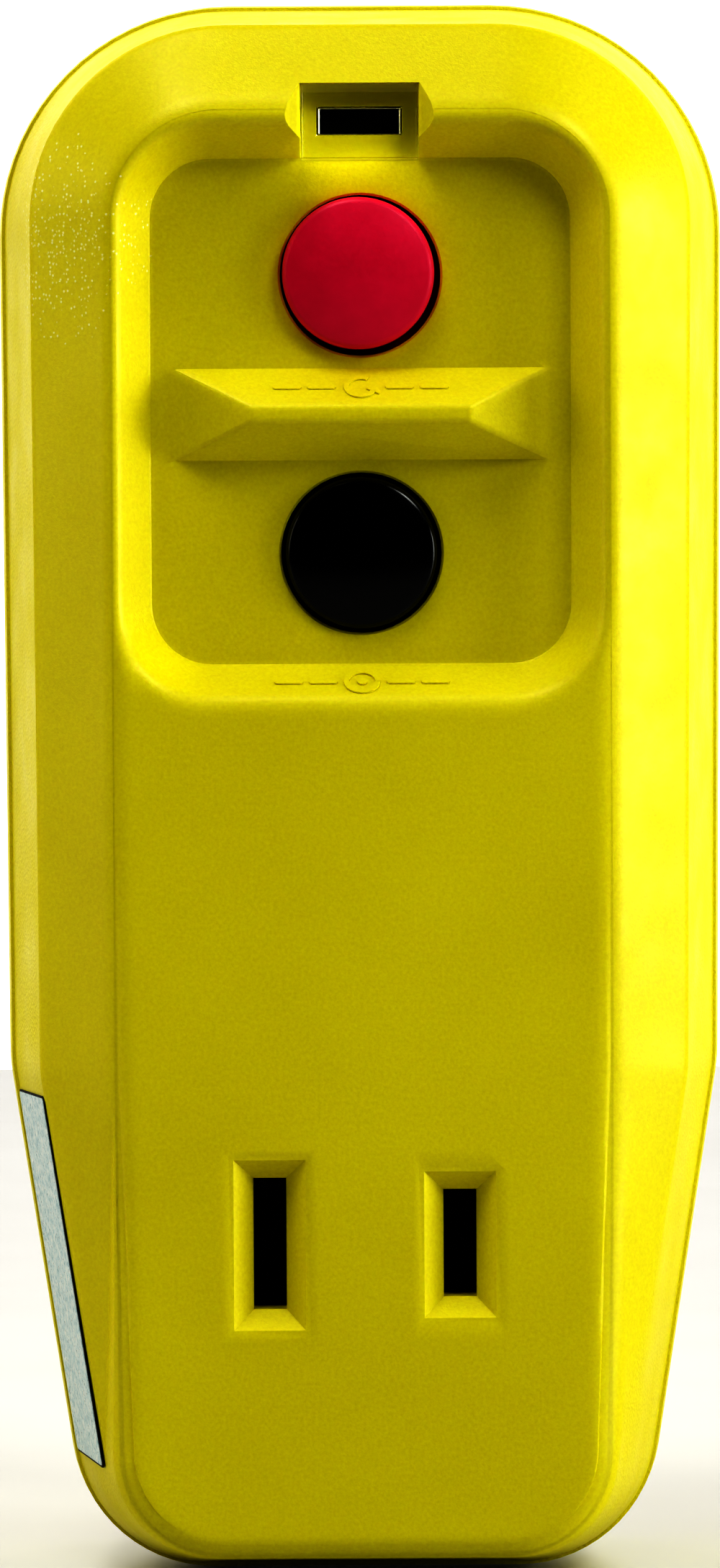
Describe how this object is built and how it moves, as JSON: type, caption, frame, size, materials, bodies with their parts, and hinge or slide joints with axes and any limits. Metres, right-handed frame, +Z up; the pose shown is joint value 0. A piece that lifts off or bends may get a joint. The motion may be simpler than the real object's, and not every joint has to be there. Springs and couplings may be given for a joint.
{
  "type": "gfci outlet",
  "caption": "Plug-in ground-fault adapter outlet: yellow round-topped case with a polarised outlet, red reset and black test buttons, indicator lens and rear plug blades.",
  "frame": {"origin": "centre of the flat rear face between the plug blades: the point midway between the two blades, at the height of the outlet's slots", "axes": "+Z up, along the case from the outlet towards the buttons; +Y to the rear, the way the blades point into the wall; +X to the right as seen from the front, with the user at -Y"},
  "size_m": [0.0498, 0.0545, 0.1078],
  "materials": {
    "yellow_shell": "fine-textured bright yellow polycarbonate",
    "clear_lens": "clear moulded polycarbonate",
    "silver_foil": "speckled satin silver foil",
    "red_cap": "satin red",
    "black_cap": "gloss black",
    "bright_steel": "zinc-plated steel",
    "spring_steel": "drawn spring wire",
    "contact_brass": "stamped brass",
    "blade_brass": "stamped brass, lightly rubbed",
    "bus_copper": "stamped copper",
    "enamelled_copper": "enamelled winding wire",
    "ivory_insulator": "moulded insulator",
    "black_insulator": "moulded insulator",
    "grey_ferrite": "sintered ferrite",
    "green_laminate": "solder-masked laminate",
    "black_epoxy": "moulded epoxy",
    "blue_epoxy": "dipped epoxy",
    "capacitor_sleeve": "shrink sleeve",
    "tan_lacquer": "lacquer",
    "orange_epoxy": "dipped epoxy"
  },
  "bodies": {
    "case": {"front_cover": "yellow_shell", "rear_cover": "yellow_shell", "indicator_lens": "clear_lens", "indicator_led": "black_epoxy", "rating_label": "silver_foil", "reset_spring": "spring_steel", "test_spring": "spring_steel", "test_contact_pins": "contact_brass", "button_guide": "ivory_insulator", "mechanism_frame": "ivory_insulator", "carriage_springs": "spring_steel", "solenoid_frame": "bright_steel", "solenoid_bobbin": "ivory_insulator", "solenoid_coil": "enamelled_copper", "plunger_spring": "spring_steel", "sense_core": "grey_ferrite", "sense_winding": "enamelled_copper", "neutral_core": "grey_ferrite", "neutral_winding": "enamelled_copper", "transformer_cup": "black_insulator", "line_bus_neutral": "bus_copper", "line_bus_hot": "bus_copper", "load_terminal_neutral": "contact_brass", "load_terminal_hot": "contact_brass", "receptacle_block": "ivory_insulator", "blade_carrier": "black_insulator", "plug_blade_neutral": "blade_brass", "plug_blade_hot": "blade_brass", "circuit_board": "green_laminate", "control_chip": "black_epoxy", "surge_varistor": "blue_epoxy", "filter_capacitor": "capacitor_sleeve", "trigger_thyristor": "black_epoxy", "rectifier_diodes": "black_epoxy", "resistors": "tan_lacquer", "ceramic_capacitors": "orange_epoxy", "case_screws": "bright_steel"},
    "reset": {"reset_button": "red_cap", "reset_pin": "bright_steel"},
    "test": {"test_button": "black_cap", "test_contact_bridge": "contact_brass"},
    "carriage": {"contact_carriage": "black_insulator", "neutral_bridge": "bus_copper", "hot_bridge": "bus_copper"},
    "latch": {"latch_plate": "bright_steel"},
    "plunger": {"solenoid_plunger": "bright_steel"}
  },
  "joints": [
    {"name": "reset_press", "type": "slide", "parent": "case", "child": "reset", "axis": [0, 1, 0], "range_m": [0, 0.0025], "stiffness_N_per_m": 400, "springref_m": -0.002, "deforming": ["reset_spring"]},
    {"name": "test_press", "type": "slide", "parent": "case", "child": "test", "axis": [0, 1, 0], "range_m": [0, 0.0014], "stiffness_N_per_m": 500, "springref_m": -0.002, "deforming": ["test_spring"]},
    {"name": "carriage_lift", "type": "slide", "parent": "case", "child": "carriage", "axis": [0, -1, 0], "range_m": [0, 0.00135], "stiffness_N_per_m": 300, "springref_m": -0.002, "deforming": ["carriage_springs"]},
    {"name": "plunger_pull", "type": "slide", "parent": "case", "child": "plunger", "axis": [0, 0, -1], "range_m": [0, 0.0012], "stiffness_N_per_m": 150, "springref_m": -0.003, "deforming": ["plunger_spring"]},
    {"name": "latch_slide", "type": "slide", "parent": "carriage", "child": "latch", "axis": [0, 0, -1], "range_m": [0, 0.0012]}
  ],
  "couplings": [
    {"joint": "latch_slide", "follows": "plunger_pull", "ratio": 1}
  ]
}
